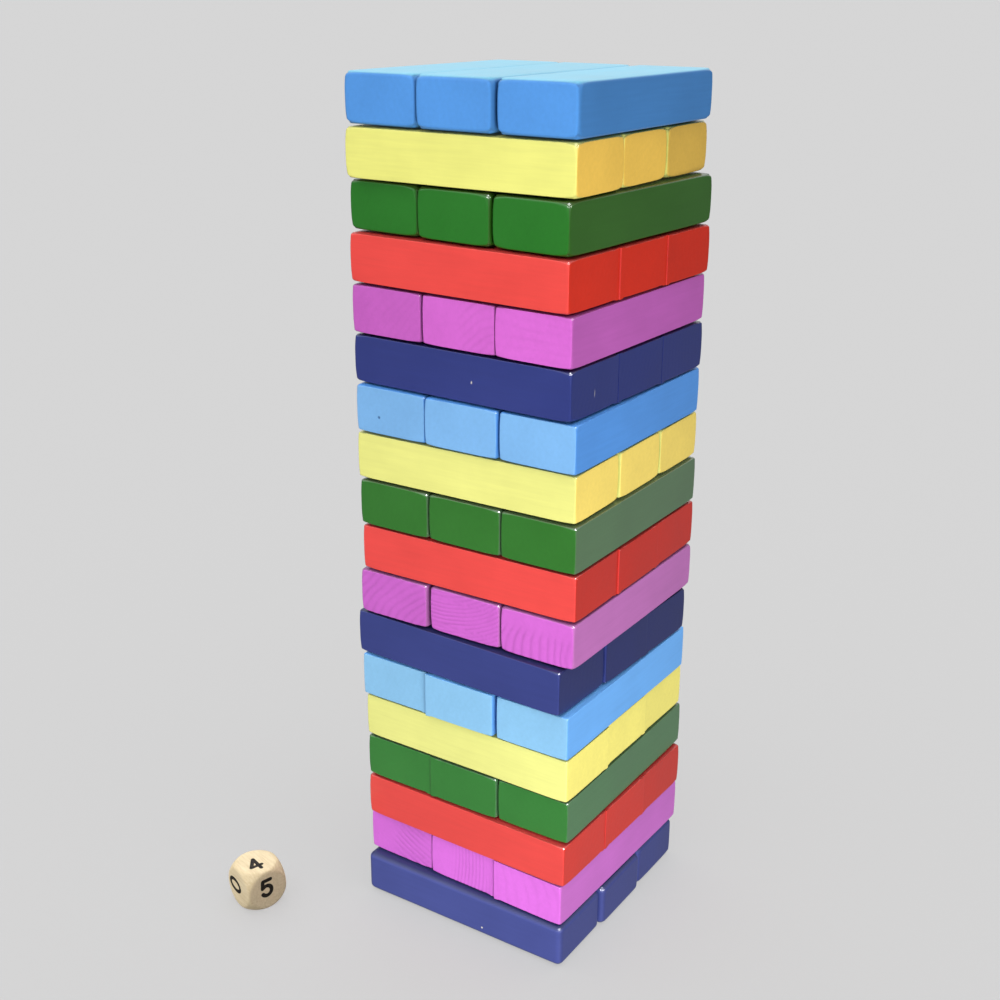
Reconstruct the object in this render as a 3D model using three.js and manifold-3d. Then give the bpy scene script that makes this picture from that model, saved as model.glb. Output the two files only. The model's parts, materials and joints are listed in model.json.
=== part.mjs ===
// A tumbling tower: eighteen crossed layers of three painted wooden blocks, with its number die.
// Millimetres, +Z up. The origin is on the table, under the centre of the bottom layer.
// Odd layers run along X and even layers run along Y, give or take a few degrees. Layer 1 is the
// bottom one.

import * as THREE from "three";
import { RoundedBoxGeometry } from "three/addons/geometries/RoundedBoxGeometry.js";
import { mergeVertices } from "three/addons/utils/BufferGeometryUtils.js";
import Module from "manifold-3d";

const wasm = await Module();
wasm.setup();

// Driving dimensions of one block, a little off the nominal 75 x 25 x 15.
const BLOCK_LENGTH = 75.5;
const BLOCK_WIDTH = 25;
const LAYER_PITCH = 14.8;
const LAYER_CLEARANCE = 0.05;
const BLOCK_HEIGHT = LAYER_PITCH - LAYER_CLEARANCE;
const EDGE_RADIUS = 1.7;

// Driving dimensions of the die: a cube whose corners and edges are turned off to a sphere.
const DIE_EDGE = 14.5;
const DIE_SPHERE_DIAMETER = 19.7;
const DIE_SPHERE_DETAIL = 5;
const DIE_CENTRE_X = -65.5;
const DIE_CENTRE_Y = -63.6;
const DIE_YAW_DEGREES = -18;

// Paint colours in the order in which they repeat up the tower, and the bare wood of the die.
const PAINTS = [
  ["navy", 0x3a4283],
  ["purple", 0xd46acd],
  ["red", 0xee5049],
  ["green", 0x32802f],
  ["yellow", 0xf3ee86],
  ["light_blue", 0x7cbaf0],
];
const PAINT_ROUGHNESS = 0.4;
const BARE_WOOD = 0xecd9ae;
const BARE_WOOD_ROUGHNESS = 0.6;

// How the tower was stacked by hand, one line for each layer from the bottom up:
// shift is how far the whole layer sits off the tower's axis along X and Y,
// turn is how many degrees it is turned, anticlockwise seen from above,
// gaps are the two openings between its three blocks,
// and push is how far each block sits along its own length.
const LAYERS = [
  { shift: [-0.2, -0.8], turn: 0.0, gaps: [0.3, 0.6], push: [0.0, 1.0, 0.2] },
  { shift: [-0.1, 1.4], turn: -1.2, gaps: [0.2, 0.1], push: [0.4, 0.0, -0.6] },
  { shift: [0.8, -0.1], turn: -1.0, gaps: [0.1, 0.1], push: [0.0, 0.2, 0.0] },
  { shift: [0.2, 0.7], turn: 0.0, gaps: [0.1, 0.4], push: [0.1, -0.3, 0.2] },
  { shift: [0.1, 0.6], turn: -0.6, gaps: [0.4, 0.4], push: [0.4, -0.2, -0.6] },
  { shift: [0.2, -0.3], turn: -0.2, gaps: [0.1, 1.2], push: [0.3, -0.7, -0.3] },
  { shift: [-0.4, -1.0], turn: -2.1, gaps: [0.2, 0.1], push: [0.0, 0.5, 0.3] },
  { shift: [0.8, 0.0], turn: 0.0, gaps: [1.2, 0.5], push: [-0.2, 0.1, 0.0] },
  { shift: [1.1, 0.3], turn: 0.3, gaps: [0.1, 0.3], push: [0.0, 0.4, 0.2] },
  { shift: [1.1, 0.1], turn: 0.0, gaps: [0.4, 0.3], push: [-0.2, 0.0, 0.1] },
  { shift: [0.1, 0.8], turn: 0.6, gaps: [0.3, 0.5], push: [-0.2, 0.3, 0.5] },
  { shift: [0.8, -0.2], turn: -0.2, gaps: [0.2, 0.6], push: [0.1, -0.3, 0.0] },
  { shift: [0.4, 0.1], turn: -1.8, gaps: [0.1, 0.1], push: [0.0, 0.1, 0.2] },
  { shift: [0.4, 0.0], turn: -1.7, gaps: [0.5, 0.2], push: [0.1, 0.2, -0.1] },
  { shift: [0.6, -0.3], turn: -2.8, gaps: [0.3, 0.2], push: [-0.2, 0.2, 0.5] },
  { shift: [0.1, 0.8], turn: -3.5, gaps: [0.3, 0.5], push: [0.2, -0.3, 0.2] },
  { shift: [-1.0, 0.2], turn: -0.3, gaps: [0.3, 0.3], push: [0.2, -0.2, 0.0] },
  { shift: [-0.2, -0.2], turn: -0.7, gaps: [0.2, 1.2], push: [0.4, -0.5, -0.1] },
];

// The three places in a layer, from the lowest coordinate across the layer to the highest.
const PLACES_ALONG_X = ["front", "middle", "back"];
const PLACES_ALONG_Y = ["left", "middle", "right"];

function solidFrom(geometry) {
  geometry.deleteAttribute("normal");
  geometry.deleteAttribute("uv");
  const merged = mergeVertices(geometry, 1e-4);
  return new wasm.Manifold(
    new wasm.Mesh({
      numProp: 3,
      vertProperties: merged.attributes.position.array,
      triVerts: new Uint32Array(merged.index.array),
    }),
  );
}

function geometryFrom(solid) {
  const { vertProperties, triVerts } = solid.getMesh();
  const geometry = new THREE.BufferGeometry();
  geometry.setAttribute("position", new THREE.BufferAttribute(vertProperties, 3));
  geometry.setIndex(new THREE.BufferAttribute(triVerts, 1));
  geometry.computeVertexNormals();
  return geometry;
}

// One painted block, long side along X, with every edge and corner eased.
function blockMesh(name, colour) {
  const geometry = new RoundedBoxGeometry(BLOCK_LENGTH, BLOCK_WIDTH, BLOCK_HEIGHT, 1, EDGE_RADIUS);
  const material = new THREE.MeshStandardMaterial({
    color: colour,
    roughness: PAINT_ROUGHNESS,
    metalness: 0,
  });
  const mesh = new THREE.Mesh(geometry, material);
  mesh.name = name;
  return mesh;
}

// The three blocks of one layer, centred on the layer's own axis and running along its X or Y.
function layerGroup(number) {
  const { shift, turn, gaps, push } = LAYERS[number - 1];
  const [paintName, colour] = PAINTS[(number - 1) % PAINTS.length];
  const runsAlongX = number % 2 === 1;
  const places = runsAlongX ? PLACES_ALONG_X : PLACES_ALONG_Y;
  const layerWidth = 3 * BLOCK_WIDTH + gaps[0] + gaps[1];
  const layer = new THREE.Group();
  let nearSide = -layerWidth / 2;
  places.forEach((place, index) => {
    const paddedNumber = String(number).padStart(2, "0");
    const block = blockMesh(`layer_${paddedNumber}_${paintName}_${place}`, colour);
    const across = nearSide + BLOCK_WIDTH / 2;
    if (runsAlongX) {
      block.position.set(push[index], across, 0);
    } else {
      block.position.set(across, push[index], 0);
      block.rotation.z = Math.PI / 2;
    }
    layer.add(block);
    nearSide += BLOCK_WIDTH + (gaps[index] ?? 0);
  });
  layer.position.set(shift[0], shift[1], (number - 1) * LAYER_PITCH + BLOCK_HEIGHT / 2);
  layer.rotation.z = THREE.MathUtils.degToRad(turn);
  return layer;
}

// The number die: six round flats on a ball, lying on the table beside the tower.
function dieMesh() {
  const cube = solidFrom(new THREE.BoxGeometry(DIE_EDGE, DIE_EDGE, DIE_EDGE));
  const ball = solidFrom(new THREE.IcosahedronGeometry(DIE_SPHERE_DIAMETER / 2, DIE_SPHERE_DETAIL));
  const material = new THREE.MeshStandardMaterial({
    color: BARE_WOOD,
    roughness: BARE_WOOD_ROUGHNESS,
    metalness: 0,
  });
  const mesh = new THREE.Mesh(geometryFrom(cube.intersect(ball)), material);
  mesh.name = "number_die";
  mesh.position.set(DIE_CENTRE_X, DIE_CENTRE_Y, DIE_EDGE / 2);
  mesh.rotation.z = THREE.MathUtils.degToRad(DIE_YAW_DEGREES);
  return mesh;
}

const tower = new THREE.Group();
for (let number = 1; number <= LAYERS.length; number += 1) {
  tower.add(layerGroup(number));
}
tower.add(dieMesh());

export default tower;
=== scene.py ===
# A tumbling tower: fifty-four painted wooden blocks in eighteen crossed layers, and its number die.
# Every piece is a closed mesh made here, in metres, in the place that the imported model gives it.
import json
import math

import bpy
import numpy as np
from mathutils import Matrix, Vector


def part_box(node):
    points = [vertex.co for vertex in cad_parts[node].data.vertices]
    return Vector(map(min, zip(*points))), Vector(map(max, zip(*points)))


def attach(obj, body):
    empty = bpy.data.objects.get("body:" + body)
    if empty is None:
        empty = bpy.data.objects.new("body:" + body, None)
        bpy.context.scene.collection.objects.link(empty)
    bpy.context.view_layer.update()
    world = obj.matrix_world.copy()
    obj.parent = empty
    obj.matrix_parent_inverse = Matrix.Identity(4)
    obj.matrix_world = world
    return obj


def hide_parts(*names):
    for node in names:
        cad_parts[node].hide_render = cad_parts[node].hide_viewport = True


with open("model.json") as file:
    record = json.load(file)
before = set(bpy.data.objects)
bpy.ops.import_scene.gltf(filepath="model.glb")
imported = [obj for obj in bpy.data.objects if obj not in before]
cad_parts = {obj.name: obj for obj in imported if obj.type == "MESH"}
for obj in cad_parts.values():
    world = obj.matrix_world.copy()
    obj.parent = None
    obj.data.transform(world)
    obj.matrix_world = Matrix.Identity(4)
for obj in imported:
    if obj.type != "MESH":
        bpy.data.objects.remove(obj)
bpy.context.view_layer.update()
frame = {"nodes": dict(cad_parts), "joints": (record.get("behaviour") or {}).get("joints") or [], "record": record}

MM = 0.001
BODY_OF = {
    node: body
    for body, nodes in frame["record"]["behaviour"]["bodies"].items()
    for node in nodes
}
BLOCK_NODES = sorted(node for node in BODY_OF if node.startswith("layer_"))
SLIDE_AXIS = {joint["child"]: joint["axis"] for joint in frame["joints"]}
ROOT_AXIS = (1, 0, 0)
BLOCKS_IN_A_LAYER = 3
LAYER_COUNT = len(BLOCK_NODES) // BLOCKS_IN_A_LAYER
FIRST_SEED = 1000
DIE_NODE = "number_die"

# Camera: where it stands round the tower, and the point that it looks at, from the tower's middle.
CAMERA_AZIMUTH = math.radians(33.12)
CAMERA_ELEVATION = math.radians(20.36)
CAMERA_ROLL = math.radians(-0.22)
CAMERA_DISTANCE = 446.3 * MM
CAMERA_AIM_OFFSET = Vector((-12.6, 2.9, -0.1)) * MM
CAMERA_LENS = 50.05
SENSOR_WIDTH = 36.0

# Light. The surround is dim at eye level and bright overhead. The broad suns stand for soft boxes
# at the front and behind, a small one draws only the glints, and a low panel lifts the lower right.
# The floor has a light of its own, so that it stays as even as a paper backdrop.
BACKDROP = 0.672
SURROUND_STOPS = ((0.0, 0.42), (0.5, 0.16), (1.0, 1.6))
SUNS = {
    "key": {"direction": (-0.35, -0.74, 0.56), "strength": 1.5, "angle": 80, "lights": "pieces"},
    "back": {"direction": (-0.47, 0.72, 0.50), "strength": 0.40, "angle": 60, "lights": "pieces"},
    "glint": {"direction": (0.57, -0.32, 0.76), "strength": 12.0, "angle": 28, "lights": "shiny"},
    "floor": {"direction": (-0.10, -0.20, 0.97), "strength": 8.6, "angle": 50, "lights": "floor"},
}
PANEL_PLACE = Vector((0.34, -0.26, 0.06))
PANEL_AIM = Vector((0.0, 0.0, 0.10))
PANEL_SIZE = 0.20
PANEL_POWER = 1.7
FLOOR_SIZE = 400.0
FLOOR_GREY = 0.177

# The one block behind the front of the tower whose edge catches a glint.
GLINTING_BEHIND = "layer_01_navy_middle"

# Blocks. Steps are the distances between mesh lines on the flats.
CORNER_REACH = 2.8 * MM
LAYER_GAP = 0.18 * MM
EASED_DEPTH = 0.26 * MM
EASED_WIDTH = 3.5 * MM
EDGE_STEPS = 4
NEAR_EDGE_LINES = np.array((0.3, 0.65, 1.05, 1.55, 2.15, 3.0)) * MM
LENGTH_STEP = 1.6 * MM
END_STEP = 0.5 * MM
FINE_END_STEP = 0.27 * MM
UNEVENNESS = 0.08 * MM
UNEVENNESS_LENGTH = 30 * MM
SIDE_RELIEF = 0.010 * MM

# How far each layer's edges and corners are rounded, bottom layer first, in millimetres.
EDGE_RADII = (1.8, 0.4, 0.4, 0.4, 0.35, 0.4, 0.4, 0.6, 0.4, 0.5, 0.35, 0.4, 0.4, 0.4, 0.4, 0.7, 0.5, 1.2)
CORNER_RADII = (2.4, 0.8, 1.0, 1.0, 0.8, 0.8, 1.2, 1.3, 1.0, 1.0, 1.0, 1.0, 1.3, 1.0, 1.3, 1.8, 1.8, 2.2)
ROUNDING_SPREAD = 0.12

# Seams where two blocks stand close, with edges that are hardly rounded there: layer to seams.
# Seam 0 is the one at the front or the left. The rounding there is a share of the layer's own, and
# sets in between the two distances from the seam. SEAM_GAPS names one seam that is only tighter.
CLOSE_SEAMS = {
    2: (1,),
    3: (0, 1),
    4: (0,),
    5: (0, 1),
    6: (0,),
    7: (1,),
    9: (0, 1),
    13: (0, 1),
    15: (0, 1),
}
CLOSE_GAP = 0.06 * MM
CLOSE_ROUNDING = 0.12
CLOSE_FADE = (3 * MM, 1 * MM)
NEIGHBOUR_REACH = 5 * MM
SEAM_GAPS = {(18, 1): 0.8 * MM}

# Each paint on the long sides and on the ends of the blocks, in the lowest, the middle and the highest of its
# three layers, as sRGB of 0-255 under the front light, its gloss of 0 to 1, and a factor for its broad faces. The
# shades carry painted light and shade: the same paint is painted paler low on the tower and darker on the faces
# that turn to the right, and the green sides carry a painted grey sheen. The broad-face factor is painted shade on
# the top and bottom faces and their rounding, which darkens the gaps and ledges between the layers; on the light
# blue it is painted light, which makes them paler. The top of the tower is paler and more cyan than the same paint
# on the sides and has a shade of its own, a painted sheen of the light from above.
# The side and end shades weren't chosen by hand: a scratch program, which isn't kept, fitted them until the mean
# colour of each visible face was the photograph's.
PAINTS = {
    "navy": {
        "side": ((83, 91, 154), (68, 76, 136), (60, 69, 133)),
        "end": ((76, 82, 136), (56, 61, 106), (53, 61, 119)),
        "gloss": (0.1, 0.3, 0.5),
        "broad_face_shade": 0.45,
    },
    "purple": {
        "side": ((200, 114, 200), (188, 116, 182), (185, 99, 179)),
        "end": ((227, 121, 229), (214, 112, 212), (220, 113, 214)),
        "gloss": (0.2, 0.2, 0.2),
        "broad_face_shade": 0.7,
    },
    "red": {
        "side": ((236, 84, 80), (242, 85, 81), (245, 86, 81)),
        "end": ((211, 64, 56), (198, 54, 46), (210, 59, 46)),
        "gloss": (0.45, 0.5, 0.25),
        "broad_face_shade": 0.65,
    },
    "green": {
        "side": ((83, 124, 86), (86, 117, 84), (59, 101, 47)),
        "end": ((62, 130, 62), (56, 122, 49), (52, 125, 50)),
        "gloss": (0.7, 0.9, 0.4),
        "broad_face_shade": 0.7,
    },
    "yellow": {
        "side": ((240, 240, 146), (240, 239, 142), (248, 246, 138)),
        "end": ((252, 240, 131), (255, 227, 119), (248, 204, 96)),
        "gloss": (0.2, 0.2, 0.2),
        "broad_face_shade": 0.75,
    },
    "light_blue": {
        "side": ((116, 179, 246), (92, 151, 224), (81, 135, 196)),
        "end": ((146, 200, 239), (134, 188, 240), (97, 162, 237)),
        "gloss": (0.1, 0.1, 0.0),
        "broad_face_shade": 1.2,
    },
}
PAINT_ORDER = tuple(PAINTS)
PAINTED_TOP_SHEEN = (140, 208, 234)
LIGHT_ON_FRONT = 1.3
SHEEN_IN_COLOUR = 0.022
LOW_SPECULAR = 0.15
GLOSS_SPECULAR = 0.3
COAT_ROUGHNESS = 0.12
PRIMER = (236, 228, 205)
# Added on the edges: partly worn paint, partly a painted highlight.
WORN_AND_SHEEN_TINT = (0.03, 0.03, 0.03)

# The die's bare wood and printed numbers; the edge colour is painted shade on its rounded rim.
WOOD = {
    "late": (206, 186, 148),
    "early": (228, 212, 178),
    "cloud": (224, 205, 168),
    "pore": (176, 148, 108),
    "edge": (200, 172, 124),
}
INK = (10, 6, 4)

# Blocks drawn a little darker or lighter than their neighbours: partly the paint's own differences, partly a
# painted falloff of light, darker on blocks far from the tower's near corner and lighter near it.
TONES = {
    "layer_14_purple_left": 0.87,
    "layer_14_purple_right": 1.04,
    "layer_08_purple_left": 0.93,
    "layer_08_purple_right": 1.03,
    "layer_02_purple_left": 0.93,
    "layer_02_purple_right": 1.04,
    "layer_12_light_blue_left": 0.97,
    "layer_17_yellow_back": 0.80,
    "layer_11_yellow_back": 0.93,
    "layer_15_red_back": 0.92,
    "layer_03_red_back": 0.90,
}

# Growth rings. The default is faint. The purple ends are the ones that the saw left rough:
# pith is the rings' centre in millimetres, to the right and up, seen from the front, and fade
# is where across the end the relief sets in, and smooth_above is the height that it dies out at.
RING_BEND_LENGTH = 26 * MM
RING_RIPPLE_LENGTH = 8 * MM
RING_STRENGTH_LENGTH = 9 * MM
FULL_RING_DEPTH = 0.12 * MM
RING_COLOUR = 0.42
RING_DARKNESS = 0.6
FAINT_RINGS = {"pitch": 2.2 * MM, "depth": 0.012 * MM, "wobble": 0.5}
ROUGH_ENDS = {
    "layer_08_purple_left": {"pith": (38, -32), "pitch": 2.4 * MM, "depth": 0.17 * MM, "wobble": 0.9},
    "layer_08_purple_middle": {"pith": (-9, 30), "pitch": 1.3 * MM, "depth": 0.14 * MM, "wobble": 0.5},
    "layer_08_purple_right": {
        "pith": (64, -14), "pitch": 2.3 * MM, "depth": 0.15 * MM, "wobble": 1.5, "smooth_above": 1.5,
    },
    "layer_02_purple_left": {
        "pith": (24, 34), "pitch": 2.6 * MM, "depth": 0.13 * MM, "wobble": 1.2, "fade": -3,
    },
    "layer_02_purple_middle": {
        "pith": (-60, 3), "pitch": 1.4 * MM, "depth": 0.12 * MM, "wobble": 0.35, "fade": -4,
    },
    "layer_02_purple_right": {"pith": (-60, -8), "pitch": 3.2 * MM, "depth": 0.04 * MM, "wobble": 0.8},
    "layer_14_purple_left": {"pith": (50, -40), "pitch": 2.6 * MM, "depth": 0.04 * MM, "wobble": 0.8},
    "layer_14_purple_middle": {
        "pith": (30, -34), "pitch": 2.2 * MM, "depth": 0.07 * MM, "wobble": 1.0, "fade": 0,
    },
    "layer_14_purple_right": {"pith": (10, 60), "pitch": 3.0 * MM, "depth": 0.03 * MM, "wobble": 0.8},
}

# Small marks in the paint: the block's own axis and side that the mark is on, how far along the
# face and up it lies and how wide and high it is, in millimetres, and its tone (1 pale, -1 dark).
MARKS = {
    "layer_13_navy_front": (
        {"face": (1, -1), "place": (4.9, -0.9), "size": (0.3, 0.3), "tone": 0.7},
        {"face": (0, 1), "place": (-0.2, -1.4), "size": (0.25, 1.2), "tone": 0.2},
    ),
    "layer_01_navy_front": (
        {"face": (1, -1), "place": (8.4, -4.1), "size": (0.35, 0.35), "tone": 0.8},
    ),
    "layer_12_light_blue_left": (
        {"face": (0, -1), "place": (4.2, -1.9), "size": (0.5, 0.5), "tone": -1.0},
    ),
}
MARK_DEPTH = 0.10 * MM
MARK_SKIN = 0.6 * MM
MARK_RIM = (1.15, 0.55)
MARK_LINES = 11
MARK_LINES_REACH = 1.5
DARK_MARK = 0.3


# ---------------------------------------------------------------- shared helpers

def linear(colour):
    """An sRGB colour of 0-255 values as linear light."""
    values = np.array(colour, float) / 255
    return np.where(values <= 0.04045, values / 12.92, ((values + 0.055) / 1.055) ** 2.4)


def smoothstep(low, high, value):
    t = np.clip((value - low) / (high - low), 0, 1)
    return t * t * (3 - 2 * t)


def waves(points, rng, wavelength, count=9):
    """Smooth unevenness between about -1 and 1: plane waves in directions drawn from rng."""
    total = np.zeros(len(points))
    for _ in range(count):
        direction = rng.normal(size=3)
        direction /= np.linalg.norm(direction)
        frequency = 2 * math.pi / (wavelength * rng.uniform(0.7, 1.6))
        total += np.sin(points @ direction * frequency + rng.uniform(0, 2 * math.pi))
    return total / math.sqrt(count * 2)


def lattice_lines(half, radius, step, marked=()):
    """Mesh lines from -half to half: even on the flat, and at even angles round the edges.
    They are closer near the edges and at marked, the places of marks and their sizes."""
    flat = half - radius
    middle = flat - NEAR_EDGE_LINES[-1]
    count = math.ceil(2 * middle / step)
    near_edge = flat - NEAR_EDGE_LINES[:-1]
    on_flat = np.concatenate(
        [[-flat], -near_edge, np.linspace(-middle, middle, count + 1), near_edge[::-1], [flat]]
    )
    for place, size in marked:
        close = place + size * np.linspace(-MARK_LINES_REACH, MARK_LINES_REACH, MARK_LINES)
        on_flat = on_flat[(on_flat < close[0] - size / 4) | (on_flat > close[-1] + size / 4)]
        on_flat = np.sort(np.concatenate([on_flat, close]))
    round_the_edge = radius * np.tan(np.linspace(0, math.pi / 4, EDGE_STEPS + 1)[1:])
    return np.concatenate([-flat - round_the_edge[::-1], on_flat, flat + round_the_edge])


def box_lattice(lines):
    """The points and outward quads of a closed box with these mesh lines on its three axes."""
    shape = [len(axis_lines) for axis_lines in lines]
    skin = np.zeros(shape, bool)
    skin[[0, -1], :, :] = True
    skin[:, [0, -1], :] = True
    skin[:, :, [0, -1]] = True
    number = np.full(shape, -1)
    number[skin] = np.arange(skin.sum())
    places = np.nonzero(skin)
    points = np.stack([axis_lines[place] for axis_lines, place in zip(lines, places)], axis=1)
    quads = []
    for axis in range(3):
        for side in (0, -1):
            sheet = np.take(number, side, axis=axis)
            corners = [sheet[:-1, :-1], sheet[1:, :-1], sheet[1:, 1:], sheet[:-1, 1:]]
            if (side == -1) == (axis == 1):
                corners.reverse()
            quads.append(np.stack(corners, axis=-1).reshape(-1, 4))
    return points, np.concatenate(quads)


def mesh_object(name, points, quads, values, material):
    """A smooth-shaded mesh object. values are its float attributes, one number for each point."""
    mesh = bpy.data.meshes.new(name)
    mesh.vertices.add(len(points))
    mesh.vertices.foreach_set("co", points.astype(np.float32).ravel())
    mesh.loops.add(quads.size)
    mesh.loops.foreach_set("vertex_index", quads.astype(np.int32).ravel())
    mesh.polygons.add(len(quads))
    mesh.polygons.foreach_set("loop_start", np.arange(0, quads.size, 4, dtype=np.int32))
    mesh.update(calc_edges=True)
    mesh.validate()
    mesh.shade_smooth()
    for key, numbers in values.items():
        attribute = mesh.attributes.new(key, "FLOAT", "POINT")
        attribute.data.foreach_set("value", np.asarray(numbers, np.float32))
    mesh.materials.append(material)
    piece = bpy.data.objects.new(name, mesh)
    bpy.context.scene.collection.objects.link(piece)
    return piece


class Nodes:
    """A short way to write a shader: each method adds one node and returns its output."""

    def __init__(self, name):
        self.material = bpy.data.materials.new(name)
        self.material.use_nodes = True
        self.tree = self.material.node_tree
        self.tree.nodes.clear()
        self.output = self.tree.nodes.new("ShaderNodeOutputMaterial")
        self.shader = self.tree.nodes.new("ShaderNodeBsdfPrincipled")
        self.tree.links.new(self.shader.outputs[0], self.output.inputs[0])

    def put(self, socket, value):
        if isinstance(value, bpy.types.NodeSocket):
            self.tree.links.new(value, socket)
        elif isinstance(value, (int, float)):
            socket.default_value = value
        else:
            socket.default_value = (*value, 1.0) if len(socket.default_value) == 4 else value

    def place(self, scale=(1, 1, 1), moved_by=None):
        """Object coordinates, scaled, and moved by a seed so that no two blocks look alike."""
        coordinates = self.tree.nodes.new("ShaderNodeTexCoord").outputs["Object"]
        stretch = self.tree.nodes.new("ShaderNodeVectorMath")
        stretch.operation = "MULTIPLY_ADD"
        self.put(stretch.inputs[0], coordinates)
        self.put(stretch.inputs[1], scale)
        if moved_by is not None:
            self.put(stretch.inputs[2], moved_by)
        return stretch.outputs[0]

    def attribute(self, name):
        node = self.tree.nodes.new("ShaderNodeAttribute")
        node.attribute_name = name
        return node.outputs["Fac"]

    def math(self, operation, first, second):
        node = self.tree.nodes.new("ShaderNodeMath")
        node.operation = operation
        self.put(node.inputs[0], first)
        self.put(node.inputs[1], second)
        return node.outputs[0]

    def noise(self, vector, scale, detail=2.0, roughness=0.5):
        node = self.tree.nodes.new("ShaderNodeTexNoise")
        self.put(node.inputs["Vector"], vector)
        node.inputs["Scale"].default_value = scale
        node.inputs["Detail"].default_value = detail
        node.inputs["Roughness"].default_value = roughness
        return node.outputs["Fac"]

    def remap(self, value, low, high, to_low, to_high, smooth=False):
        node = self.tree.nodes.new("ShaderNodeMapRange")
        node.interpolation_type = "SMOOTHSTEP" if smooth else "LINEAR"
        for socket, number in zip(node.inputs, (value, low, high, to_low, to_high)):
            self.put(socket, number)
        return node.outputs[0]

    def mix(self, factor, first, second, blend="MIX"):
        node = self.tree.nodes.new("ShaderNodeMix")
        node.data_type = "RGBA"
        node.blend_type = blend
        self.put(node.inputs[0], factor)
        self.put(node.inputs[6], first)
        self.put(node.inputs[7], second)
        return node.outputs[2]

    def bump(self, height, distance, strength=1.0, after=None):
        node = self.tree.nodes.new("ShaderNodeBump")
        node.inputs["Distance"].default_value = distance
        node.inputs["Strength"].default_value = strength
        self.put(node.inputs["Height"], height)
        if after is not None:
            self.put(node.inputs["Normal"], after)
        return node.outputs[0]

    def set(self, **sockets):
        for name, value in sockets.items():
            self.put(self.shader.inputs[name.replace("_", " ")], value)


# ---------------------------------------------------------------- materials

def painted_colour(shade):
    """The base colour from how a shade looks under the front light; the painted light and shade that the shade
    carries stay in it.
    """
    return np.clip((linear(shade) - SHEEN_IN_COLOUR) / LIGHT_ON_FRONT, 0.004, 0.9)


def paint_material(name, side_shade, end_shade, gloss, broad_face_shade):
    """Satin paint on wood: faintly mottled, streaked along the grain, and paler on the edges, partly as worn paint
    and partly as a painted highlight.
    """
    side = painted_colour(side_shade)
    end = painted_colour(end_shade)
    nodes = Nodes(name)
    seed = nodes.attribute("seed")
    edge = nodes.attribute("edge")
    ring = nodes.attribute("ring")
    mark = nodes.attribute("mark")
    here = nodes.place(moved_by=seed)
    along = nodes.place(scale=(0.06, 1, 1), moved_by=seed)

    cloud = nodes.noise(here, 60, 3)
    grain = nodes.noise(along, 900, 3, 0.6)
    speckle = nodes.noise(here, 2600, 2)
    # The side and end shades carry painted light and shade: paler low on the tower, darker on the faces to the
    # right.
    even = nodes.mix(nodes.attribute("end"), side, end)
    cloudy = nodes.remap(cloud, 0.3, 0.7, 0.95, 1.04)
    streaky = nodes.remap(grain, 0.3, 0.75, 0.975, 1.05)
    # Painted shade on the broad faces and their rounding, for the gaps and ledges between layers; on the light
    # blue, painted light.
    broad_face_shading = nodes.remap(nodes.attribute("broad_face_shade"), 0, 1, 1, broad_face_shade)
    even = nodes.mix(1.0, even, broad_face_shading, "MULTIPLY")
    # Painted sheen on the top of the tower: paler and more cyan, as if lit from above.
    even = nodes.mix(nodes.attribute("top"), even, painted_colour(PAINTED_TOP_SHEEN))
    uneven = nodes.math("MULTIPLY", cloudy, streaky)
    # The tone is partly the paint's own and partly a painted falloff of light across the tower.
    painted = nodes.mix(1.0, even, nodes.math("MULTIPLY", uneven, nodes.attribute("tone")), "MULTIPLY")
    painted = nodes.mix(nodes.remap(ring, 0, 1, 0, RING_COLOUR), painted, end * RING_DARKNESS)
    # Paler edges: partly worn paint, partly a painted highlight.
    on_edge = nodes.remap(edge, 0.2, 0.9, 0, 1)
    thin_and_sheen = nodes.math("MULTIPLY", on_edge, nodes.remap(cloud, 0.3, 0.65, 0.1, 0.4))
    painted = nodes.mix(thin_and_sheen, painted, nodes.mix(1.0, painted, WORN_AND_SHEEN_TINT, "ADD"))
    painted = nodes.mix(nodes.remap(mark, 0, 1, 0, 1), painted, linear(PRIMER))
    painted = nodes.mix(nodes.remap(mark, 0, -1, 0, 0.8), painted, side * DARK_MARK)
    nodes.set(Base_Color=painted)

    rough = nodes.remap(cloud, 0.3, 0.7, 0.36, 0.44)
    rough = nodes.math("ADD", rough, nodes.remap(speckle, 0.3, 0.7, -0.03, 0.03))
    nodes.set(Roughness=rough)
    fine = nodes.bump(speckle, 0.010 * MM, 0.6)
    nodes.set(Normal=nodes.bump(grain, 0.025 * MM, 0.6, after=fine))
    specular = LOW_SPECULAR + GLOSS_SPECULAR * gloss
    nodes.set(Specular_IOR_Level=specular, Coat_Weight=gloss, Coat_Roughness=COAT_ROUGHNESS)
    return nodes.material


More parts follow.
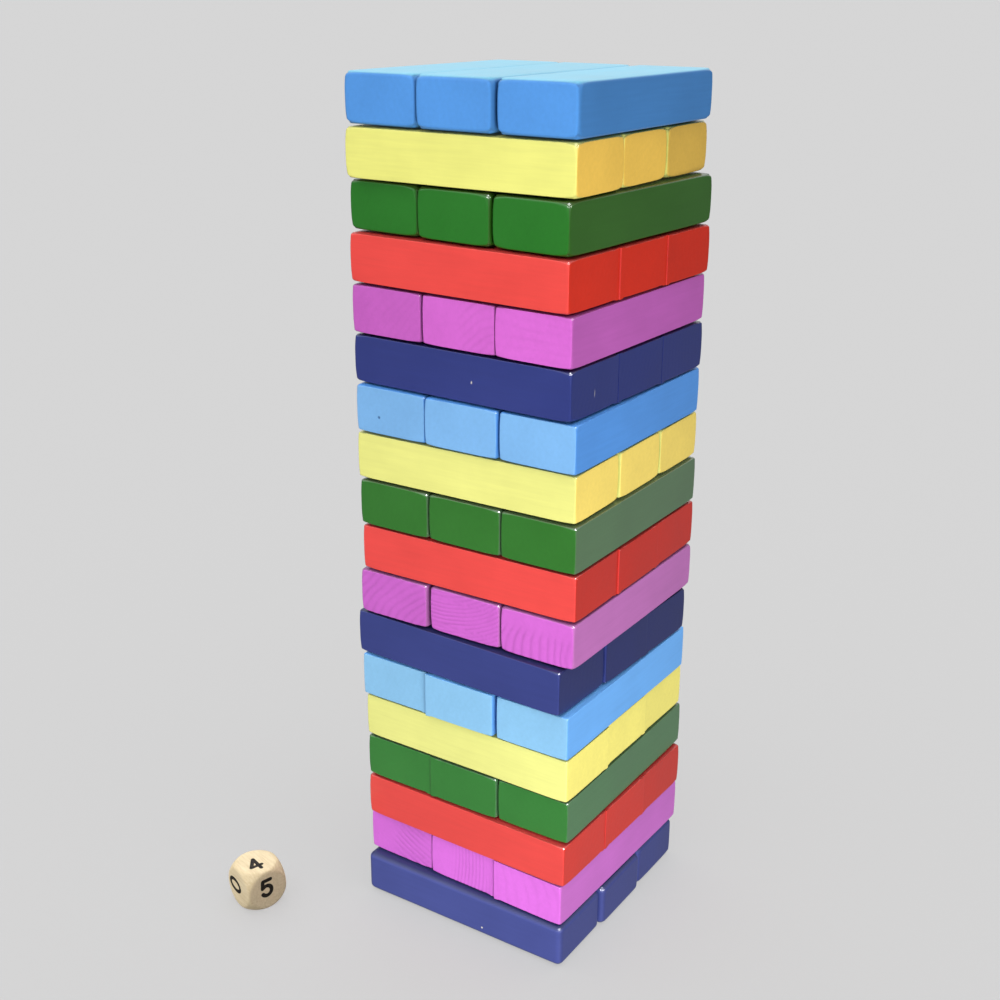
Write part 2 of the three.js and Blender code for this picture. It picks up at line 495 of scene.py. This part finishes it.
def die_material():
    """Bare sanded wood with fine grain and pores, and dark printed numbers."""
    nodes = Nodes("natural_wood")
    ink = nodes.attribute("ink")
    edge = nodes.attribute("edge")
    long_grain = nodes.place(scale=(0.12, 1, 1))
    here = nodes.place()
    grain = nodes.noise(long_grain, 1600, 4, 0.6)
    cloud = nodes.noise(here, 180, 2)
    pores = nodes.noise(long_grain, 5200, 2, 0.7)
    wood = nodes.mix(nodes.remap(grain, 0.3, 0.7, 0, 1), linear(WOOD["late"]), linear(WOOD["early"]))
    wood = nodes.mix(nodes.remap(cloud, 0.35, 0.7, 0, 0.4), wood, linear(WOOD["cloud"]))
    wood = nodes.mix(nodes.remap(pores, 0.62, 0.72, 0, 0.4), wood, linear(WOOD["pore"]))
    # Painted shade on the die's rounded rim.
    wood = nodes.mix(nodes.remap(edge, 0.1, 0.8, 0, 0.15), wood, linear(WOOD["edge"]))
    printed = nodes.remap(ink, -0.06, 0.06, 1, 0, smooth=True)
    broken = nodes.math("MULTIPLY", printed, nodes.remap(pores, 0.5, 0.8, 1.0, 0.85))
    nodes.set(Base_Color=nodes.mix(broken, wood, linear(INK)))
    nodes.set(Roughness=nodes.remap(grain, 0.3, 0.7, 0.5, 0.62))
    nodes.set(Normal=nodes.bump(grain, 0.03 * MM, 0.8))
    nodes.set(Specular_IOR_Level=0.2)
    return nodes.material


def floor_material():
    nodes = Nodes("pale_floor")
    nodes.set(Base_Color=(FLOOR_GREY, FLOOR_GREY, FLOOR_GREY), Roughness=0.9, Specular_IOR_Level=0.0)
    return nodes.material


# ---------------------------------------------------------------- blocks

def ring_height(points, pith, pitch, wobble, rng):
    """0 on the hard late wood and up to 1 in the soft early wood, for rings round the pith."""
    bend = waves(points, rng, RING_BEND_LENGTH) * wobble * pitch
    fine_bend = waves(points, rng, RING_RIPPLE_LENGTH) * 0.12 * wobble * pitch
    distance = np.hypot(points[:, 1] - pith[0], points[:, 2] - pith[1]) + bend + fine_bend
    phase = 2 * math.pi * distance / pitch
    strength = 0.7 + 0.3 * np.clip(waves(points, rng, RING_STRENGTH_LENGTH), -1, 1)
    return (0.5 + 0.5 * np.cos(phase + 0.7 * np.sin(phase))) * strength


def mark_tone(points, half, marks):
    """The tone of the marks at each point: 0 where there is none."""
    tone = np.zeros(len(points))
    for mark in marks:
        axis, side = mark["face"]
        across = points[:, 1 - axis] / MM - mark["place"][0]
        up = points[:, 2] / MM - mark["place"][1]
        reach = np.hypot(across / mark["size"][0], up / mark["size"][1])
        on_face = points[:, axis] * side > half[axis] - MARK_SKIN
        tone += mark["tone"] * smoothstep(*MARK_RIM, reach) * on_face
    return tone


def rounded(flat_points, half, radius, corner_radius, close_sides):
    """The points of a sharp box moved onto the same box with round edges and rounder corners,
    and with its top and bottom eased off towards their rims. Its close sides stay nearly sharp.
    Gives points and outward normals."""
    from_corner = (half - np.abs(flat_points)).sum(axis=1)
    near_corner = np.exp(-((from_corner / CORNER_REACH) ** 2))[:, None]
    reach = radius + (corner_radius - radius) * near_corner
    for side in close_sides:
        from_side = half[1] - flat_points[:, 1] * side
        reach *= 1 - (1 - CLOSE_ROUNDING) * smoothstep(*CLOSE_FADE, from_side)[:, None]
    inner = np.clip(flat_points, reach - half, half - reach)
    outward = flat_points - inner
    normal = outward / np.linalg.norm(outward, axis=1, keepdims=True)
    points = inner + reach * normal
    from_rim = (half - np.abs(points))[:, :2].min(axis=1)
    points[:, 2] -= normal[:, 2] * EASED_DEPTH * smoothstep(EASED_WIDTH, 0, from_rim)
    return points, normal


def parts_of(node):
    """The layer, the paint and the place that a block's node is named after."""
    _, layer, *paint_words, place = node.split("_")
    return int(layer), "_".join(paint_words), place


def turned_box(node, turned):
    """The low and high corners of a CAD solid in axes that are turned about Z."""
    solid = np.array([vertex.co for vertex in frame["nodes"][node].data.vertices]) @ turned
    return solid.min(axis=0), solid.max(axis=0)


def close_up(node, turned, low, high):
    """Widen a block's box to close its close seams. Gives the sides (1 or -1) that they are on."""
    layer, _, place = parts_of(node)
    close_sides = []
    for neighbour in BLOCK_NODES:
        neighbour_layer, _, neighbour_place = parts_of(neighbour)
        if neighbour == node or neighbour_layer != layer:
            continue
        neighbour_low, neighbour_high = turned_box(neighbour, turned)
        for side, gap in ((1, neighbour_low[1] - high[1]), (-1, low[1] - neighbour_high[1])):
            if not 0 < gap < NEIGHBOUR_REACH:
                continue
            seam = 0 if {place, neighbour_place} & {"front", "left"} else 1
            wanted = SEAM_GAPS.get((layer, seam), gap)
            if seam in CLOSE_SEAMS.get(layer, ()):
                wanted = CLOSE_GAP
                close_sides.append(side)
            if side == 1:
                high[1] += (gap - wanted) / 2
            else:
                low[1] -= (gap - wanted) / 2
    return close_sides


def make_block(node, materials):
    layer, paint, place = parts_of(node)
    axis_x, axis_y, _ = SLIDE_AXIS.get(BODY_OF[node], ROOT_AXIS)
    turn = math.atan2(axis_y, axis_x)
    turned = np.array(Matrix.Rotation(turn, 3, "Z"))
    low, high = turned_box(node, turned)
    close_sides = close_up(node, turned, low, high)
    half = (high - low - (0, 0, LAYER_GAP)) / 2
    middle = (low + high) / 2 - (0, 0, LAYER_GAP / 2)
    rng = np.random.default_rng(FIRST_SEED + BLOCK_NODES.index(node))
    marks = MARKS.get(node, ())
    rings = {"pith": (rng.uniform(20, 60) * rng.choice([-1, 1]), rng.uniform(-50, 50))}
    rings |= FAINT_RINGS | ROUGH_ENDS.get(node, {})

    spread = rng.uniform(1 - ROUNDING_SPREAD, 1 + ROUNDING_SPREAD, 2)
    radius, corner_radius = spread * (EDGE_RADII[layer - 1], CORNER_RADII[layer - 1]) * MM
    end_step = FINE_END_STEP if node in ROUGH_ENDS else END_STEP
    lines = []
    for axis, step in enumerate((LENGTH_STEP, end_step, end_step)):
        marked = [
            (mark["place"][axis == 2] * MM, mark["size"][axis == 2] * MM)
            for mark in marks
            if axis != mark["face"][0]
        ]
        lines.append(lattice_lines(half[axis], radius, step, marked))
    flat_points, quads = box_lattice(lines)
    points, normal = rounded(flat_points, half, radius, corner_radius, close_sides)

    pith = (-rings["pith"][0] * MM, rings["pith"][1] * MM)
    soft = ring_height(points, pith, rings["pitch"], rings["wobble"], rng)
    if "fade" in rings:
        soft *= smoothstep(rings["fade"] - 2, rings["fade"] + 3, -points[:, 1] / MM)
    if "smooth_above" in rings:
        soft *= smoothstep(rings["smooth_above"] + 2, rings["smooth_above"] - 2, points[:, 2] / MM)
    on_end = smoothstep(0.6, 0.98, np.abs(normal[:, 0]))
    depth = on_end * rings["depth"] + (1 - on_end) * SIDE_RELIEF
    uneven = UNEVENNESS * (0.5 + 0.5 * np.clip(waves(points, rng, UNEVENNESS_LENGTH), -1, 1))
    tone = mark_tone(points, half, marks)
    points -= normal * (depth * soft + uneven + np.abs(tone) * MARK_DEPTH)[:, None]

    values = {
        "seed": np.full(len(points), rng.uniform(0, 2)),
        "edge": (1 - np.abs(normal).max(axis=1)) / (1 - 1 / math.sqrt(3)),
        "end": on_end,
        # Tone: partly the paint's own, partly a painted falloff of light.
        "tone": np.full(len(points), TONES.get(node, 1.0)),
        # Where the painted shade of the broad faces falls: faces up and down, and their rounding.
        "broad_face_shade": smoothstep(0.3, 0.9, np.abs(normal[:, 2])),
        # Where the painted sheen of the top falls.
        "top": smoothstep(0.5, 0.95, normal[:, 2]) * (layer == LAYER_COUNT),
        "ring": soft * on_end * min(1, rings["depth"] / FULL_RING_DEPTH),
        "mark": tone,
    }
    material = materials[paint][(layer - 1) // len(PAINT_ORDER)]
    piece = mesh_object(f"painted_block_{layer:02}_{place}", points, quads, values, material)
    piece.location = turned @ middle
    piece.rotation_euler.z = turn
    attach(piece, BODY_OF[node])
    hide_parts(node)
    return piece


# ---------------------------------------------------------------- die

DIE_LINES = 112
DIE_BALL_DIAMETER = 19.7 * MM
DIE_RIM_SOFTNESS = 0.25 * MM
DIE_RIM_WIDTH = 0.6 * MM
DIE_YAW = math.radians(-18)
DIGIT_DEPTH = 0.05 * MM
DIGIT_EDGE = 0.10
DIGIT_GRID_HEIGHT = 1.5


def arc(centre, radii, start, end, count=24):
    """Points along an ellipse's arc, in degrees."""
    angles = np.radians(np.linspace(start, end, count))
    return np.array(centre) + np.array(radii) * np.stack([np.cos(angles), np.sin(angles)], axis=1)


# The strokes of each number on a grid 1 wide and 1.5 high, centred.
DIGITS = {
    0: [arc((0, 0), (0.46, 0.75), 0, 360, 48)],
    1: [np.array([(-0.3, 0.4), (0.05, 0.75), (0.05, -0.75)])],
    2: [np.concatenate([arc((0, 0.32), (0.45, 0.43), 165, -35), [(-0.47, -0.75), (0.5, -0.75)]])],
    3: [
        np.concatenate(
            [arc((-0.02, 0.38), (0.42, 0.37), 150, -90), arc((-0.02, -0.36), (0.47, 0.39), 90, -150)]
        )
    ],
    4: [np.array([(0.22, -0.75), (0.22, 0.75), (-0.5, -0.3), (0.5, -0.3)])],
    5: [
        np.concatenate(
            [
                [(0.42, 0.75), (-0.32, 0.75), (-0.4, 0.08)],
                arc((-0.02, -0.25), (0.46, 0.48), 128, -150),
            ]
        )
    ],
}


def stroke_distance(points, strokes):
    """How far each 2-D point is from the nearest stroke."""
    nearest = np.full(len(points), np.inf)
    for line in strokes:
        for start, end in zip(line[:-1], line[1:]):
            along = end - start
            t = np.clip((points - start) @ along / (along @ along), 0, 1)
            gap = np.linalg.norm(points - start - t[:, None] * along, axis=1)
            nearest = np.minimum(nearest, gap)
    return nearest


# For each face: the digit, the face's outward axis and sign, the digit's turn in degrees, its
# offset to the right and up from the face's middle, its height and its stroke, in millimetres.
DIE_FACES = (
    (4, 2, 1, 90, (1.2, -1.2), 5.7, 1.3),
    (0, 1, -1, 80, (-1.8, 0.3), 6.2, 1.35),
    (5, 0, 1, 3, (-0.5, 1.0), 5.8, 1.4),
    (1, 1, 1, 85, (0.4, 0.3), 6.0, 1.3),
    (2, 0, -1, 176, (0.3, -0.5), 6.0, 1.3),
    (3, 2, -1, 12, (0.0, 0.4), 6.0, 1.3),
)


def make_die(material):
    low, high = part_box(DIE_NODE)
    half = (high.z - low.z) / 2
    lines = [np.linspace(-half, half, DIE_LINES + 1)] * 3
    points, quads = box_lattice(lines)
    distance = np.linalg.norm(points, axis=1)
    beyond = distance - DIE_BALL_DIAMETER / 2
    cut = DIE_RIM_SOFTNESS * np.logaddexp(0, beyond / DIE_RIM_SOFTNESS)
    direction = points / distance[:, None]
    cube_points = points.copy()
    points = points - direction * cut[:, None]

    ink = np.full(len(points), 1.0)
    for digit, axis, sign, turn, offset, height, stroke in DIE_FACES:
        face = cube_points[:, axis] * sign > half - 1e-6
        up = np.eye(3)[2] if axis != 2 else np.eye(3)[1]
        outward = np.eye(3)[axis] * sign
        right = np.cross(up, outward)
        flat = np.stack([points[face] @ right, points[face] @ up], axis=1) / MM - np.array(offset)
        angle = math.radians(turn)
        turning = [[math.cos(angle), -math.sin(angle)], [math.sin(angle), math.cos(angle)]]
        scale = height / DIGIT_GRID_HEIGHT
        on_grid = flat @ np.array(turning) / scale
        gap = stroke_distance(on_grid, DIGITS[digit]) * scale - stroke / 2
        ink[face] = np.minimum(ink[face], gap)
    pressed = smoothstep(DIGIT_EDGE, -DIGIT_EDGE, ink)
    points -= direction * (pressed * DIGIT_DEPTH)[:, None]

    edge = smoothstep(-DIE_RIM_WIDTH, DIE_RIM_WIDTH, beyond)
    piece = mesh_object("die_body", points, quads, {"ink": ink, "edge": edge}, material)
    piece.location = (low + high) / 2
    piece.rotation_euler.z = DIE_YAW
    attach(piece, BODY_OF[DIE_NODE])
    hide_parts(DIE_NODE)
    return piece


# ---------------------------------------------------------------- stage

def make_floor():
    """A wide level floor, lit by a light of its own. It sends no light back to the pieces: the
    surround stands in for that."""
    half = FLOOR_SIZE / 2
    corners = [(-half, -half, 0), (half, -half, 0), (half, half, 0), (-half, half, 0)]
    mesh = bpy.data.meshes.new("floor")
    mesh.from_pydata(corners, [], [(0, 1, 2, 3)])
    mesh.materials.append(floor_material())
    floor = bpy.data.objects.new("floor", mesh)
    floor.visible_diffuse = False
    floor.visible_glossy = False
    floor.visible_shadow = False
    bpy.context.scene.collection.objects.link(floor)
    return floor


def catches_glint(node):
    """Whether a block's edges catch a glint. Those at the front of the tower do, but the top layer
    is too dull. Behind the front block of a layer that runs along X there is only one that does."""
    layer, _, place = parts_of(node)
    behind = place == "back" or (place == "middle" and layer % 2 == 1)
    return node == GLINTING_BEHIND or (not behind and layer < LAYER_COUNT)


def add_light(name, kind, direction, lit_collection):
    """A light that shines from this direction on one collection only, and is shaded only by it."""
    light = bpy.data.lights.new(name, kind)
    lamp = bpy.data.objects.new(name, light)
    lamp.rotation_euler = Vector(direction).to_track_quat("Z", "Y").to_euler()
    lamp.visible_camera = False
    lamp.light_linking.receiver_collection = lit_collection
    lamp.light_linking.blocker_collection = lit_collection
    bpy.context.scene.collection.objects.link(lamp)
    return lamp, light


def make_lights(lit_collections):
    for name, sun in SUNS.items():
        lamp, light = add_light(name, "SUN", sun["direction"], lit_collections[sun["lights"]])
        light.energy = sun["strength"]
        light.angle = math.radians(sun["angle"])
        lamp.visible_diffuse = name != "glint"
    lamp, light = add_light("panel", "AREA", PANEL_PLACE - PANEL_AIM, lit_collections["blocks"])
    lamp.location = PANEL_PLACE
    lamp.visible_glossy = False
    light.energy = PANEL_POWER
    light.size = PANEL_SIZE


def collection_of(name, objects):
    collection = bpy.data.collections.new(name)
    for member in objects:
        collection.objects.link(member)
    return collection


def make_surround():
    """Soft light from all round, and a plain pale backdrop where the camera looks past the floor."""
    world = bpy.data.worlds.new("studio")
    world.use_nodes = True
    nodes = world.node_tree.nodes
    link = world.node_tree.links.new
    direction = nodes.new("ShaderNodeSeparateXYZ")
    link(nodes.new("ShaderNodeTexCoord").outputs["Generated"], direction.inputs[0])
    height = nodes.new("ShaderNodeMapRange")
    height.inputs["From Min"].default_value = -1
    link(direction.outputs["Z"], height.inputs["Value"])
    ramp = nodes.new("ShaderNodeValToRGB")
    while len(ramp.color_ramp.elements) < len(SURROUND_STOPS):
        ramp.color_ramp.elements.new(0.5)
    for stop, (position, grey) in zip(ramp.color_ramp.elements, SURROUND_STOPS):
        stop.position = position
        stop.color = (grey, grey, grey, 1)
    link(height.outputs[0], ramp.inputs[0])
    seen = nodes.new("ShaderNodeMix")
    seen.data_type = "RGBA"
    seen.inputs[7].default_value = (BACKDROP, BACKDROP, BACKDROP, 1)
    link(nodes.new("ShaderNodeLightPath").outputs["Is Camera Ray"], seen.inputs[0])
    link(ramp.outputs[0], seen.inputs[6])
    link(seen.outputs[2], nodes["Background"].inputs["Color"])
    bpy.context.scene.world = world


def make_camera():
    """A camera at the named angles, aimed near the tower's middle."""
    boxes = [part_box(node) for node in BLOCK_NODES]
    low = Vector([min(box[0][axis] for box in boxes) for axis in range(3)])
    high = Vector([max(box[1][axis] for box in boxes) for axis in range(3)])
    target = Vector((0, 0, (low.z + high.z) / 2)) + CAMERA_AIM_OFFSET
    back = Vector(
        (
            math.sin(CAMERA_AZIMUTH) * math.cos(CAMERA_ELEVATION),
            -math.cos(CAMERA_AZIMUTH) * math.cos(CAMERA_ELEVATION),
            math.sin(CAMERA_ELEVATION),
        )
    )
    level = Vector((math.cos(CAMERA_AZIMUTH), math.sin(CAMERA_AZIMUTH), 0))
    upright = back.cross(level)
    right = math.cos(CAMERA_ROLL) * level - math.sin(CAMERA_ROLL) * upright
    up = math.sin(CAMERA_ROLL) * level + math.cos(CAMERA_ROLL) * upright
    data = bpy.data.cameras.new("camera")
    data.sensor_width = SENSOR_WIDTH
    data.lens = CAMERA_LENS
    data.clip_end = FLOOR_SIZE * 2
    camera = bpy.data.objects.new("camera", data)
    turn = Matrix((right, up, back)).transposed()
    camera.matrix_world = Matrix.Translation(target + back * CAMERA_DISTANCE) @ turn.to_4x4()
    bpy.context.scene.collection.objects.link(camera)
    bpy.context.scene.camera = camera


# ---------------------------------------------------------------- the scene

bpy.context.scene.view_settings.view_transform = "Standard"
make_camera()
make_surround()
floor = make_floor()

paints = {
    paint: [
        paint_material(f"{paint}_paint_{turn}", side, end, gloss, look["broad_face_shade"])
        for turn, (side, end, gloss) in enumerate(zip(look["side"], look["end"], look["gloss"]), 1)
    ]
    for paint, look in PAINTS.items()
}
blocks = [make_block(block_node, paints) for block_node in BLOCK_NODES]
die = make_die(die_material())
shiny = [block for node, block in zip(BLOCK_NODES, blocks) if catches_glint(node)]
lit = {"pieces": [*blocks, die], "blocks": blocks, "shiny": shiny, "floor": [floor]}
make_lights({name: collection_of(f"lit_{name}", members) for name, members in lit.items()})
